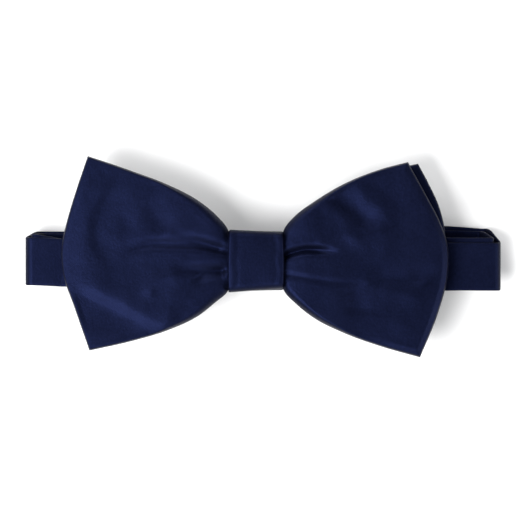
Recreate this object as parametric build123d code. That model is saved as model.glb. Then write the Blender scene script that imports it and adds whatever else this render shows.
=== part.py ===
from build123d import *
import os
from math import atan2, cos, pi, sin

# Ready-tied bow tie, lying face up with its neck band folded flat underneath it.
# Millimetres. X runs along the band, Y up the bow, Z out of the face of the bow.
# The origin is on the floor side of the back of the band, straight under the middle of the knot.

# ---------------------------------------------------------------- driving dimensions

# Satin strap of the neck band, and the heights of its four layers.
STRAP_WIDTH = 15.0
STRAP = 0.7
LAYER_GAP = 0.2
WRAP = 0.6                              # strap pulled tight round a bar
FRONT_OUTER_Z = 9.4                     # underside of the layer that faces the bow
FRONT_INNER_Z = FRONT_OUTER_Z - LAYER_GAP - STRAP
BACK_OUTER_Z = 0.0
BACK_INNER_Z = BACK_OUTER_Z + STRAP + LAYER_GAP
BAND_TOP = FRONT_OUTER_Z + STRAP

# Folds at the ends of the flattened band. Each leans in towards the back layer.
LEFT_END = -72.2
RIGHT_END = 76.6
LEFT_LEAN = 3.0
RIGHT_LEAN = 3.4
OUTER_CORNER = 2.0                      # bend radius of the outer layer's middle line
INNER_CORNER = 1.2
LEFT_FOLD_X = LEFT_END + OUTER_CORNER + STRAP / 2
LEFT_INNER_FOLD_X = LEFT_FOLD_X + 0.95
RIGHT_FOLD_X = RIGHT_END - OUTER_CORNER - STRAP / 2
RIGHT_INNER_FOLD_X = RIGHT_FOLD_X - 1.25

# Stations along the front of the band.
HOOK_LOOP_END = -61.0
HOOK_BAR_X = -55.5
HOOK_CROSS_X = -51.5
EYE_BAR_X = -47.0
EYE_STRAP_BAR_X = -43.2
EYE_LOOP_END = -38.0
EYE_TURN_BACK_END = -33.0
LABEL_SPAN = (-32.0, -20.0)
TUNNEL_RUN_END = 12.0
SLIDER_RUN_END = 30.0
SLIDER_X = 38.2
WEAVE_END = 47.5
CLAMP_X = 66.0

# Middle lines of the layers that wander in Y, as (x, y) stations.
HOOK_STRAP_Y = -0.5
LEFT_OUTER = [(LEFT_FOLD_X, -0.1), (HOOK_LOOP_END, HOOK_STRAP_Y)]
LEFT_INNER = [(LEFT_INNER_FOLD_X, 0.9), (HOOK_LOOP_END, HOOK_STRAP_Y)]
RIGHT_OUTER = [(WEAVE_END, 0), (56, -1.6), (CLAMP_X, -1.8), (RIGHT_FOLD_X, -1.8)]
RIGHT_INNER = [(WEAVE_END, 0), (CLAMP_X, -0.2), (RIGHT_INNER_FOLD_X, -0.2)]
BACK_OUTER = [
    (LEFT_FOLD_X + LEFT_LEAN, 1.8), (-20, 1.2), (10, 1.2), (58, 3.6), (CLAMP_X, 3.1),
    (RIGHT_FOLD_X - RIGHT_LEAN, 2.7),
]
BACK_INNER = [
    (LEFT_INNER_FOLD_X + LEFT_LEAN, 1.2), (-20, 0.9), (10, 0.9), (58, 2.2), (CLAMP_X, 2.0),
    (RIGHT_INNER_FOLD_X - RIGHT_LEAN, 1.9),
]

# Metal parts.
HARDWARE_Z = (FRONT_INNER_Z + BAND_TOP) / 2
HOOK_WIRE = 0.9
EYE_WIRE = 1.0
FRAME_HALF_WIDTH = 8.7                  # from the middle line to the side wires
TONGUE_WIDTH = 5.0
TONGUE = 0.6
TONGUE_REACH = 0.95                     # from the eye's bar to the middle of the tongue
SLIDER_LENGTH = 10.8
SLIDER_BAR = 1.2
SLIDER_PLATE = 0.6
SLIDER_Z = 8.45

# Knot: a satin wrap over a stiffening strip, round the gathered bow and the strap.
KNOT_WIDTH = 17.2
KNOT_HEIGHT = 18.8
KNOT_BOTTOM = 8.0
KNOT_TOP = 20.0
KNOT_CORNER = 1.7
KNOT_SATIN = 0.5
KNOT_STIFFENER = 0.6

# Bow: two flattened satin tubes, each over its own interlining, one behind the other.
SATIN = 0.45
LINING_GAP = 0.1
PINCH_X = 8.9                           # where the wings open out beside the knot
PINCH_Y = 7.4
BACK_BOW_Z = 10.8

# Sewing thread.
THREAD = 0.35
STITCH = 0.22


# ---------------------------------------------------------------- helpers

def save(shape, node):
    """Write one sub-part, with its name, to its own STEP file."""
    shape.label = node
    export_step(shape, f"parts/{node}.step")


def slab(x_span, y_span, z_span):
    """A block from its lowest and highest corners."""
    size = [high - low for low, high in (x_span, y_span, z_span)]
    middle = [(low + high) / 2 for low, high in (x_span, y_span, z_span)]
    return Pos(*middle) * Box(*size)


def plate(face_xy, bottom, top):
    """An outline drawn in X and Y, raised between two heights."""
    return extrude(Plane.XY.offset(bottom) * face_xy, amount=top - bottom)


def profile_strip(outline, width, middle_y=0.0):
    """A flat outline drawn in X and Z, made width long in Y about middle_y."""
    return extrude(Plane.XZ.offset(-middle_y - width / 2) * outline, amount=width)


def closed_face(*edges):
    """One flat face inside a closed run of edges."""
    return make_face(Wire(edges))


def polygon(points):
    """A flat face with straight sides."""
    return make_face(Polyline(*points, close=True))


def strap_run(route, bottom):
    """A level length of strap whose middle line follows (x, y) stations."""
    half_width = STRAP_WIDTH / 2
    lower = [(x, y - half_width) for x, y in route]
    upper = [(x, y + half_width) for x, y in reversed(route)]
    return plate(polygon(lower + upper), bottom, bottom + STRAP)


def strap_fold(front, back, corner, steps=6):
    """The end fold of the band: down from the front layer, and in to the back layer.

    front and back are the (x, y, z) middles of its two end faces.
    """
    side = 1 if front[0] > 0 else -1
    top = front[2] - corner
    bottom = back[2] + corner
    lean = atan2(abs(front[0] - back[0]), top - bottom)
    upper_turn = [(front[0], top, pi / 2 - (pi / 2 + lean) * k / steps) for k in range(steps + 1)]
    lower_turn = [(back[0], bottom, -lean - (pi / 2 - lean) * k / steps) for k in range(steps + 1)]
    sections = []
    for x, z, turn in upper_turn + lower_turn:
        outward = Vector(side * cos(turn), 0, sin(turn))
        centre = Vector(x, 0, z) + outward * corner
        share = (front[2] - centre.Z) / (front[2] - back[2])
        centre = centre + Vector(0, front[1] + (back[1] - front[1]) * share, 0)
        section_plane = Plane(origin=centre, x_dir=(0, 1, 0), z_dir=outward.cross(Vector(0, 1, 0)))
        sections.append(section_plane * Rectangle(STRAP_WIDTH, STRAP))
    return loft(sections, ruled=True)


def strap_loop(far_x, bar_x, bar_radius, side, middle_y=0.0):
    """Two layers of strap that meet far from a bar, and the turn of strap round the bar."""
    inner = bar_radius + 0.1
    outer = inner + WRAP
    upper = (BAND_TOP, FRONT_OUTER_Z)
    lower = (FRONT_INNER_Z, FRONT_INNER_Z + STRAP)
    outside = closed_face(
        Line((far_x, upper[0]), (bar_x, HARDWARE_Z + outer)),
        ThreePointArc((bar_x, HARDWARE_Z + outer), (bar_x + side * outer, HARDWARE_Z),
                      (bar_x, HARDWARE_Z - outer)),
        Line((bar_x, HARDWARE_Z - outer), (far_x, lower[0])),
        Line((far_x, lower[0]), (far_x, upper[0])),
    )
    inside = closed_face(
        Line((far_x, upper[1]), (bar_x, HARDWARE_Z + inner)),
        ThreePointArc((bar_x, HARDWARE_Z + inner), (bar_x + side * inner, HARDWARE_Z),
                      (bar_x, HARDWARE_Z - inner)),
        Line((bar_x, HARDWARE_Z - inner), (far_x, lower[1])),
        Line((far_x, lower[1]), (far_x, upper[1])),
    )
    return profile_strip(outside - inside, STRAP_WIDTH, middle_y)


def wire_frame(x0, x1, z, wire, half_width):
    """A rectangular ring bent from round wire, with its long bars along Y."""
    outline = Pos((x0 + x1) / 2, 0, z) * RectangleRounded(x1 - x0, 2 * half_width, 1.2)
    path = outline.face().outer_wire()
    start = path @ 0
    section = Plane(origin=start, z_dir=path % 0) * Circle(wire / 2)
    return sweep(section, path=path, transition=Transition.ROUND)


def stitch_row(centres, size):
    """Separate small stitches of one size, gathered in one compound."""
    return Compound(children=[Pos(*centre) * Box(*size) for centre in centres])


# ---------------------------------------------------------------- bow

def bow_outline(left_top, left_out, left_bottom, right_top, right_out, right_bottom, bulge):
    """The whole bow seen from the front: two wings and the pinched waist between them."""
    root_top = 10.2
    root_bottom = -9.8
    left_mid = (-26.0, 23.0 + bulge)
    left_low = (-26.0, -21.2 - bulge)
    right_mid = (26.0, 23.3 + bulge)
    right_low = (26.0, -22.2 - bulge)
    return closed_face(
        Line((-PINCH_X, PINCH_Y), (-PINCH_X, root_top)),
        ThreePointArc((-PINCH_X, root_top), left_mid, left_top),
        ThreePointArc(left_top, left_out, left_bottom),
        ThreePointArc(left_bottom, left_low, (-PINCH_X, root_bottom)),
        Line((-PINCH_X, root_bottom), (-PINCH_X, -PINCH_Y)),
        Line((-PINCH_X, -PINCH_Y), (PINCH_X, -PINCH_Y)),
        Line((PINCH_X, -PINCH_Y), (PINCH_X, root_bottom)),
        ThreePointArc((PINCH_X, root_bottom), right_low, right_bottom),
        ThreePointArc(right_bottom, right_out, right_top),
        ThreePointArc(right_top, right_mid, (PINCH_X, root_top)),
        Line((PINCH_X, root_top), (PINCH_X, PINCH_Y)),
        Line((PINCH_X, PINCH_Y), (-PINCH_X, PINCH_Y)),
    )


def front_bow_profile():
    """Side view of the front bow: thin at the tips, full of pleats beside the knot."""
    return polygon([
        (-64, 12.9), (-30, 13.0), (-12, 14.3), (12, 14.3), (30, 13.0), (64, 12.9),
        (64, 14.9), (42, 16.4), (22, 18.6), (12, 18.0), (-12, 18.0), (-22, 18.6),
        (-42, 16.4), (-64, 14.9),
    ])


def back_bow_profile():
    """Side view of the back bow, which lies flat under the front one."""
    return polygon([
        (-64, BACK_BOW_Z), (64, BACK_BOW_Z), (64, 12.7), (30, 12.8), (12, 14.1),
        (-12, 14.1), (-30, 12.8), (-64, 12.7),
    ])


def bow_solid(outline, profile, inset):
    """The outline raised to the height of the profile, with its skin taken off to inset."""
    if inset:
        outline = offset(outline, amount=-inset, kind=Kind.INTERSECTION)
        profile = offset(profile, amount=-inset, kind=Kind.INTERSECTION)
    body = plate(outline, 0, KNOT_TOP + 5)
    return body & profile_strip(profile, 100)


def bow_ply(outline, profile):
    """One bow as two pieces: its satin tube, and the interlining that fills it."""
    filled = bow_solid(outline, profile, 0)
    satin = filled - bow_solid(outline, profile, SATIN)
    interlining = bow_solid(outline, profile, SATIN + LINING_GAP)
    return satin, interlining


def make_bow():
    front = bow_outline((-52.5, 32.8), (-60.9, 2.0), (-52.0, -28.0),
                        (47.8, 30.8), (60.2, 0.5), (51.0, -30.1), 0.0)
    back = bow_outline((-51.2, 31.4), (-59.6, 2.0), (-50.8, -26.6),
                       (51.2, 30.6), (59.4, 4.0), (50.0, -28.6), -0.8)
    front_satin, front_lining = bow_ply(front, front_bow_profile())
    back_satin, back_lining = bow_ply(back, back_bow_profile())
    save(front_satin, "front_bow_satin")
    save(front_lining, "front_bow_interlining")
    save(back_satin, "back_bow_satin")
    save(back_lining, "back_bow_interlining")


def make_gather_thread():
    """Three turns of thread that pinch both bows at the waist."""
    inner_y = PINCH_Y + 0.05
    bottom = BACK_BOW_Z - 0.05
    top = 18.05
    middle = (bottom + top) / 2
    turns = []
    for x in (-0.6, 0.0, 0.6):
        outer = Rectangle(2 * (inner_y + THREAD), top - bottom + 2 * THREAD)
        inner = Rectangle(2 * inner_y, top - bottom)
        ring = Plane.YZ.offset(x - THREAD / 2) * (Pos(0, middle) * (outer - inner))
        turns.append(extrude(ring, amount=THREAD))
    save(Compound(children=turns), "gather_thread")


# ---------------------------------------------------------------- knot

def knot_ring(outset, inset):
    """A rounded rectangular tube along X, between two depths under the knot's surface."""
    middle = (KNOT_BOTTOM + KNOT_TOP) / 2
    height = KNOT_TOP - KNOT_BOTTOM
    rings = [
        RectangleRounded(KNOT_HEIGHT - 2 * depth, height - 2 * depth, KNOT_CORNER - depth)
        for depth in (outset, inset)
    ]
    section = Plane.YZ.offset(-KNOT_WIDTH / 2) * (Pos(0, middle) * (rings[0] - rings[1]))
    return extrude(section, amount=KNOT_WIDTH)


def make_knot():
    save(knot_ring(0, KNOT_SATIN), "knot_wrap")
    save(knot_ring(KNOT_SATIN, KNOT_SATIN + KNOT_STIFFENER), "knot_stiffener")
    count = 7
    spacing = 2.1
    centres = [
        (spacing * (index - (count - 1) / 2), 0, KNOT_BOTTOM - STITCH / 2)
        for index in range(count)
    ]
    save(stitch_row(centres, (0.4, 2.4, STITCH)), "knot_stitches")


# ---------------------------------------------------------------- neck band

def make_band_front():
    """The front of the band: from the eye, through the knot, to the slider and beyond."""
    save(strap_run([(EYE_LOOP_END, 0), (TUNNEL_RUN_END, 0)], FRONT_OUTER_Z), "band_knot_run")
    save(strap_run([(TUNNEL_RUN_END, 0), (SLIDER_RUN_END, 0)], FRONT_OUTER_Z),
         "band_slider_run")
    save(strap_run(RIGHT_OUTER[:-1], FRONT_OUTER_Z), "band_right_outer")
    save(strap_run(RIGHT_INNER[:-1], FRONT_INNER_Z), "band_right_inner")
    save(strap_run(RIGHT_OUTER[-2:], FRONT_OUTER_Z), "band_right_outer_end")
    save(strap_run(RIGHT_INNER[-2:], FRONT_INNER_Z), "band_right_inner_end")
    save(strap_run(LEFT_OUTER, FRONT_OUTER_Z), "band_left_outer")
    save(strap_run(LEFT_INNER, FRONT_INNER_Z), "band_left_inner")


def make_band_back():
    """Both back layers, each cut where its right-hand end starts to stretch."""
    for name, route, bottom in (
        ("outer", BACK_OUTER, BACK_OUTER_Z),
        ("inner", BACK_INNER, BACK_INNER_Z),
    ):
        save(strap_run(route[:-1], bottom), f"band_back_{name}")
        save(strap_run(route[-2:], bottom), f"band_back_{name}_end")


def make_band_folds():
    for name, left, right, back, front_z, back_z, corner in (
        ("outer", LEFT_OUTER, RIGHT_OUTER, BACK_OUTER, FRONT_OUTER_Z, BACK_OUTER_Z, OUTER_CORNER),
        ("inner", LEFT_INNER, RIGHT_INNER, BACK_INNER, FRONT_INNER_Z, BACK_INNER_Z, INNER_CORNER),
    ):
        upper = front_z + STRAP / 2
        lower = back_z + STRAP / 2
        left_fold = strap_fold((*left[0], upper), (*back[0], lower), corner)
        right_fold = strap_fold((*right[-1], upper), (*back[-1], lower), corner)
        save(left_fold, f"band_left_{name}_fold")
        save(right_fold, f"band_right_{name}_fold")


# ---------------------------------------------------------------- hook and eye

def make_eye():
    save(wire_frame(EYE_BAR_X, EYE_STRAP_BAR_X, HARDWARE_Z, EYE_WIRE, FRAME_HALF_WIDTH),
         "eye_ring")
    loop = strap_loop(EYE_LOOP_END, EYE_STRAP_BAR_X, EYE_WIRE / 2, -1)
    turn_back = strap_run([(EYE_LOOP_END, 0), (EYE_TURN_BACK_END, 0)], FRONT_INNER_Z)
    save(loop + turn_back, "eye_strap_loop")
    x = (EYE_LOOP_END + EYE_TURN_BACK_END) / 2
    heights = (BAND_TOP + STITCH / 2, FRONT_INNER_Z - STITCH / 2)
    centres = [(x, 1.5 * step, z) for z in heights for step in range(-4, 5)]
    save(stitch_row(centres, (1.6, 0.5, STITCH)), "eye_bar_tack")


def make_hook():
    frame = wire_frame(HOOK_BAR_X, HOOK_CROSS_X, HARDWARE_Z, HOOK_WIRE, FRAME_HALF_WIDTH)
    half = TONGUE_WIDTH / 2
    y_span = (-half, half)
    ring = Circle(TONGUE_REACH + TONGUE / 2) - Circle(TONGUE_REACH - TONGUE / 2)
    front_half = ring & Pos(2, 0) * Rectangle(4, 6)
    bend = profile_strip(Pos(EYE_BAR_X, HARDWARE_Z) * front_half, TONGUE_WIDTH)
    top = (HARDWARE_Z + TONGUE_REACH - TONGUE / 2, HARDWARE_Z + TONGUE_REACH + TONGUE / 2)
    low = (HARDWARE_Z - TONGUE_REACH - TONGUE / 2, HARDWARE_Z - TONGUE_REACH + TONGUE / 2)
    arm = slab((HOOK_CROSS_X, EYE_BAR_X), y_span, top)
    lip = slab((EYE_BAR_X - 2.2, EYE_BAR_X), y_span, low)
    root = slab((HOOK_CROSS_X - 0.45, HOOK_CROSS_X + 0.45), y_span, (HARDWARE_Z, top[1]))
    save(frame + root + arm + bend + lip, "hook")
    loop = strap_loop(HOOK_LOOP_END, HOOK_BAR_X, HOOK_WIRE / 2, 1, HOOK_STRAP_Y)
    save(loop, "hook_strap_loop")


def make_label():
    """Blank woven label sewn to the neck side of the strap."""
    bottom = FRONT_OUTER_Z - 0.2
    save(slab(LABEL_SPAN, (-6.0, 6.0), (bottom, FRONT_OUTER_Z)), "care_label")
    ends = (LABEL_SPAN[0] + 0.8, LABEL_SPAN[1] - 0.8)
    centres = [(x, 2.0 * step, bottom - 0.06) for x in ends for step in range(-2, 3)]
    save(stitch_row(centres, (0.3, 1.4, 0.12)), "label_stitches")


# ---------------------------------------------------------------- slider

def make_slider():
    """Three-bar slide, the strap that runs through it and the strap end sewn to it."""
    half = SLIDER_LENGTH / 2
    frame = Rectangle(SLIDER_LENGTH, 2 * FRAME_HALF_WIDTH)
    slot_length = half - 1.5 * SLIDER_BAR
    slot_centre = (half + SLIDER_BAR / 2 - SLIDER_BAR) / 2
    slot = RectangleRounded(slot_length, 2 * FRAME_HALF_WIDTH - 1.6, 0.5)
    outline = fillet(frame.vertices(), 1.0) - Pos(slot_centre, 0) * slot
    outline = outline - Pos(-slot_centre, 0) * slot
    body = plate(Pos(SLIDER_X, 0) * outline, SLIDER_Z, SLIDER_Z + SLIDER_PLATE)
    save(body, "slider")


def make_slider_weave():
    """The strap dips under both outer bars and rides over the middle one."""
    under = SLIDER_Z - 0.1 - STRAP
    over = SLIDER_Z + SLIDER_PLATE + WRAP + 0.15
    left_bar = SLIDER_X - SLIDER_LENGTH / 2
    right_bar = SLIDER_X + SLIDER_LENGTH / 2
    route = [
        (SLIDER_RUN_END, FRONT_OUTER_Z),
        (left_bar - 0.4, under),
        (left_bar + 1.4, under),
        (SLIDER_X - 1.4, over),
        (SLIDER_X + 1.4, over),
        (right_bar - 1.4, under),
        (right_bar + 0.3, under),
        (WEAVE_END - 1.0, FRONT_OUTER_Z),
        (WEAVE_END, FRONT_OUTER_Z),
    ]
    upper = [(x, z + STRAP) for x, z in reversed(route)]
    save(profile_strip(polygon(route + upper), STRAP_WIDTH), "band_slider_weave")


def make_slider_strap_end():
    """The end of the inner layer, wrapped round the middle bar and sewn to itself."""
    left = SLIDER_X - 1.4
    right = SLIDER_X + 1.4
    top = SLIDER_Z + SLIDER_PLATE + WRAP + 0.05
    bottom = SLIDER_Z - 2 * WRAP - 0.05
    wrap = slab((left, right), (-STRAP_WIDTH / 2, STRAP_WIDTH / 2), (bottom, top))
    bar_space = slab((left + WRAP, right - WRAP), (-STRAP_WIDTH, STRAP_WIDTH),
                     (SLIDER_Z - 0.05, SLIDER_Z + SLIDER_PLATE + 0.05))
    low = SLIDER_Z - 0.2 - 2 * STRAP - LAYER_GAP
    right_bar = SLIDER_X + SLIDER_LENGTH / 2
    tail = polygon([
        (right, bottom), (right_bar - 1.4, low), (right_bar + 0.5, low),
        (WEAVE_END - 0.7, FRONT_INNER_Z), (WEAVE_END, FRONT_INNER_Z),
        (WEAVE_END, FRONT_INNER_Z + STRAP), (WEAVE_END - 0.7, FRONT_INNER_Z + STRAP),
        (right_bar + 0.5, low + STRAP), (right_bar - 1.4, low + STRAP), (right, bottom + WRAP),
    ])
    save(wrap - bar_space + profile_strip(tail, STRAP_WIDTH), "slider_strap_end")
    centres = [(SLIDER_X, 1.5 * step, bottom - STITCH / 2) for step in range(-4, 5)]
    save(stitch_row(centres, (1.6, 0.5, STITCH)), "slider_bar_tack")


os.makedirs("parts", exist_ok=True)
make_bow()
make_gather_thread()
make_knot()
make_band_front()
make_band_folds()
make_band_back()
make_eye()
make_hook()
make_label()
make_slider()
make_slider_weave()
make_slider_strap_end()
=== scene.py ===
import math

import bmesh
import bpy
import numpy as np
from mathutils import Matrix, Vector, noise


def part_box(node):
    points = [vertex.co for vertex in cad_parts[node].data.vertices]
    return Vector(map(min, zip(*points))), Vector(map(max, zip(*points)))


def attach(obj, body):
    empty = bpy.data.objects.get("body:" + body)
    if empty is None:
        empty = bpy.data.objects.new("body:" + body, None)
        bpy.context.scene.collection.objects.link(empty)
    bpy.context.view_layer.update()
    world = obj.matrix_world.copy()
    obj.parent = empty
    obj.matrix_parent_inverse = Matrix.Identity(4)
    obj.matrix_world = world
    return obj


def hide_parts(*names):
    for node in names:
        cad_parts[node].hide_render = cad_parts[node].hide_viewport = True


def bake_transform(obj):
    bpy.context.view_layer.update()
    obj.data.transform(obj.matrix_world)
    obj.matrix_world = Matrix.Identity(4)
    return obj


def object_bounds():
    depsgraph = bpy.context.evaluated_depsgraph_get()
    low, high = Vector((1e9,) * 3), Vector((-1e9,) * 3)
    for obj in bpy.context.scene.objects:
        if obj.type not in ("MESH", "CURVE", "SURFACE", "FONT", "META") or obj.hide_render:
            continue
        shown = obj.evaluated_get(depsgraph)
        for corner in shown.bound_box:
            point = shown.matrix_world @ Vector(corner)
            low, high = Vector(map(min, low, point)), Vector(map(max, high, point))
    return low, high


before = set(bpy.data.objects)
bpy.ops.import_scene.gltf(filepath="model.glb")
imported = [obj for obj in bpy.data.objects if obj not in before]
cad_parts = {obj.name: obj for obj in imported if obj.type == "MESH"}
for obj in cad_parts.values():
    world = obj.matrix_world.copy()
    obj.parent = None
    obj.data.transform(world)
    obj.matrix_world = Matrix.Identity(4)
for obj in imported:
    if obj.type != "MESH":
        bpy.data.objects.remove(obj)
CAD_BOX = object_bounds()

# Everything below is drawn in millimetres in the CAD frame, and made into meshes in metres:
# X runs along the neck band, Y up the bow, Z out of the face of the bow, with the floor at z = 0.
MM = 0.001

# ---------------------------------------------------------------- camera, light and floor

VIEW_WIDTH = 162.5                      # what the picture takes in, level with VIEW_HEIGHT
VIEW_CENTRE = (1.25, 0.31)
VIEW_HEIGHT = 11.0
CAMERA_LENS = 400.0
CAMERA_SENSOR = 36.0

# Soft boxes: name, place and size in metres, and power in watts.
SOFT_BOXES = [
    ("soft_box_main", (-0.33, -0.23, 0.60), (0.42, 0.42), 7.0),
    ("soft_box_left", (-0.62, 0.05, 0.40), (0.34, 0.60), 1.0),
    ("soft_box_right", (0.65, -0.16, 0.34), (0.34, 0.60), 3.2),
    ("soft_box_head", (-0.30, 0.56, 0.42), (0.60, 0.40), 3.8),
    ("soft_box_foot", (0.10, -0.64, 0.34), (0.60, 0.30), 1.4),
]
SKY_COLOUR = (0.95, 0.97, 1.0, 1)
SKY_STRENGTH = 0.20
FLOOR_WIDTH = 4.0                       # metres, as is the gap under the bow
FLOOR_GAP = 0.0002
FLOOR_COLOUR = (0.90, 0.90, 0.90, 1)


def make_camera():
    """Straight above the bow, far away, as a flat product picture is taken."""
    data = bpy.data.cameras.new("camera")
    data.lens = CAMERA_LENS
    data.sensor_width = CAMERA_SENSOR
    camera = bpy.data.objects.new("camera", data)
    bpy.context.scene.collection.objects.link(camera)
    distance = VIEW_WIDTH * CAMERA_LENS / CAMERA_SENSOR
    x, y = VIEW_CENTRE
    camera.location = (x * MM, y * MM, (VIEW_HEIGHT + distance) * MM)
    bpy.context.scene.camera = camera


def area_light(name, place, size, power):
    """A rectangular soft box, in metres, turned to the middle of the bow."""
    data = bpy.data.lights.new(name, "AREA")
    data.shape = "RECTANGLE"
    data.size, data.size_y = size
    data.energy = power
    light = bpy.data.objects.new(name, data)
    bpy.context.scene.collection.objects.link(light)
    light.location = place
    light.rotation_mode = "QUATERNION"
    light.rotation_quaternion = (-Vector(place)).to_track_quat("-Z", "Y")


def make_lights():
    """Soft boxes all round, the strongest at the lower left, and a faint even sky."""
    for name, place, size, power in SOFT_BOXES:
        area_light(name, place, size, power)
    world = bpy.data.worlds.new("studio")
    bpy.context.scene.world = world
    world.use_nodes = True
    sky = world.node_tree.nodes["Background"]
    sky.inputs["Color"].default_value = SKY_COLOUR
    sky.inputs["Strength"].default_value = SKY_STRENGTH
    bpy.context.scene.view_settings.view_transform = "Standard"


def make_floor():
    """A plain pale floor just under the bow."""
    bpy.ops.mesh.primitive_plane_add(size=FLOOR_WIDTH, location=(0, 0, CAD_BOX[0].z - FLOOR_GAP))
    floor = bpy.context.object
    floor.name = "floor"
    coat = bpy.data.materials.new("floor_paint")
    coat.use_nodes = True
    shader = coat.node_tree.nodes["Principled BSDF"]
    shader.inputs["Base Color"].default_value = FLOOR_COLOUR
    shader.inputs["Roughness"].default_value = 0.9
    shader.inputs["Specular IOR Level"].default_value = 0.1
    floor.data.materials.append(coat)


# ---------------------------------------------------------------- materials

NAVY = (0.0028, 0.0037, 0.0112)
NAVY_DARK = (0.0012, 0.0016, 0.0048)
SHEEN_BLUE = (0.20, 0.29, 1.0, 1)
THREAD_COLOURS = (0.005, 0.007, 0.026), (0.014, 0.019, 0.062)
NICKEL_COLOURS = (0.50, 0.48, 0.44), (0.64, 0.62, 0.58)
INTERLINING_COLOURS = (0.42, 0.40, 0.35), (0.68, 0.66, 0.60)
TAPE_COLOURS = (0.62, 0.61, 0.58), (0.84, 0.83, 0.80)


def new_material(name):
    """A material with its nodes, its links and its shader."""
    material = bpy.data.materials.new(name)
    material.use_nodes = True
    nodes = material.node_tree.nodes
    return material, nodes, material.node_tree.links, nodes["Principled BSDF"]


def object_coordinates(nodes, links, turn=0.0, stretch=(1, 1, 1)):
    """Coordinates fixed to the object, in metres, turned about Z and then stretched."""
    place = nodes.new("ShaderNodeTexCoord")
    mapping = nodes.new("ShaderNodeMapping")
    mapping.inputs["Rotation"].default_value = (0, 0, math.radians(turn))
    mapping.inputs["Scale"].default_value = stretch
    links.new(place.outputs["Object"], mapping.inputs["Vector"])
    return mapping.outputs["Vector"]


def noise_texture(nodes, links, vector, size_mm, detail=3.0):
    texture = nodes.new("ShaderNodeTexNoise")
    texture.inputs["Scale"].default_value = 1000.0 / size_mm
    texture.inputs["Detail"].default_value = detail
    links.new(vector, texture.inputs["Vector"])
    return texture.outputs["Fac"]


def wave_texture(nodes, links, vector, period_mm, distortion=0.0):
    texture = nodes.new("ShaderNodeTexWave")
    texture.wave_type = "BANDS"
    texture.bands_direction = "X"
    texture.inputs["Scale"].default_value = 2 * math.pi / 20 / (period_mm * MM)
    texture.inputs["Distortion"].default_value = distortion
    texture.inputs["Detail"].default_value = 1.0
    links.new(vector, texture.inputs["Vector"])
    return texture.outputs["Fac"]


def paint(nodes, links, shader, factor, stops):
    """A base colour that follows the factor; stops are (place, (r, g, b)) pairs."""
    ramp = nodes.new("ShaderNodeValToRGB")
    elements = ramp.color_ramp.elements
    while len(elements) < len(stops):
        elements.new(0.5)
    for element, (place, colour) in zip(elements, stops):
        element.position = place
        element.color = (*colour, 1)
    links.new(factor, ramp.inputs["Fac"])
    links.new(ramp.outputs["Color"], shader.inputs["Base Color"])


def blend_values(nodes, links, a, b, share):
    """A mix of two grey values, share of the second."""
    mix = nodes.new("ShaderNodeMix")
    mix.data_type = "FLOAT"
    mix.inputs["Factor"].default_value = share
    links.new(a, mix.inputs[2])
    links.new(b, mix.inputs[3])
    return mix.outputs[0]


def map_range(nodes, links, value, low, high):
    node = nodes.new("ShaderNodeMapRange")
    node.inputs["To Min"].default_value = low
    node.inputs["To Max"].default_value = high
    links.new(value, node.inputs["Value"])
    return node.outputs["Result"]


def bump(nodes, links, shader, height, depth_mm):
    node = nodes.new("ShaderNodeBump")
    node.inputs["Strength"].default_value = 1.0
    node.inputs["Distance"].default_value = depth_mm * MM
    links.new(height, node.inputs["Height"])
    links.new(node.outputs["Normal"], shader.inputs["Normal"])


def satin_material(name, turn):
    """Navy satin: long floats in a fine twill, a blue sheen and slight shade variation."""
    material, nodes, links, shader = new_material(name)
    twill_space = object_coordinates(nodes, links, turn)
    cloth_space = object_coordinates(nodes, links)
    twill = wave_texture(nodes, links, twill_space, 0.42, 0.6)
    slub_space = object_coordinates(nodes, links, turn, (1.0, 0.18, 1.0))
    slub = noise_texture(nodes, links, slub_space, 0.5)
    grain = noise_texture(nodes, links, cloth_space, 0.7)
    cloud = noise_texture(nodes, links, cloth_space, 14.0, 2.0)
    shade = blend_values(nodes, links, grain, cloud, 0.35)
    paint(nodes, links, shader, shade, [(0.36, NAVY_DARK), (0.64, NAVY)])
    threads = blend_values(nodes, links, twill, slub, 0.5)
    surface = blend_values(nodes, links, threads, grain, 0.6)
    bump(nodes, links, shader, surface, 0.11)
    links.new(map_range(nodes, links, slub, 0.38, 0.48), shader.inputs["Roughness"])
    facing = nodes.new("ShaderNodeLayerWeight").outputs["Facing"]
    links.new(map_range(nodes, links, facing, 0.23, 0.02), shader.inputs["Specular IOR Level"])
    shader.inputs["Specular Tint"].default_value = SHEEN_BLUE
    shader.inputs["Sheen Weight"].default_value = 0.02
    shader.inputs["Sheen Roughness"].default_value = 0.35
    shader.inputs["Sheen Tint"].default_value = SHEEN_BLUE
    return material


def woven_material(name, dark, light, period_mm, roughness):
    """Matt plain weave, for interlining and label tape."""
    material, nodes, links, shader = new_material(name)
    warp = wave_texture(nodes, links, object_coordinates(nodes, links), period_mm, 0.4)
    weft = wave_texture(nodes, links, object_coordinates(nodes, links, 90), period_mm, 0.4)
    weave = blend_values(nodes, links, warp, weft, 0.5)
    fuzz = noise_texture(nodes, links, object_coordinates(nodes, links), 0.8)
    shade = blend_values(nodes, links, weave, fuzz, 0.5)
    paint(nodes, links, shader, shade, [(0.25, dark), (0.75, light)])
    bump(nodes, links, shader, weave, 0.08)
    shader.inputs["Roughness"].default_value = roughness
    shader.inputs["Sheen Weight"].default_value = 0.2
    return material


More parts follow.
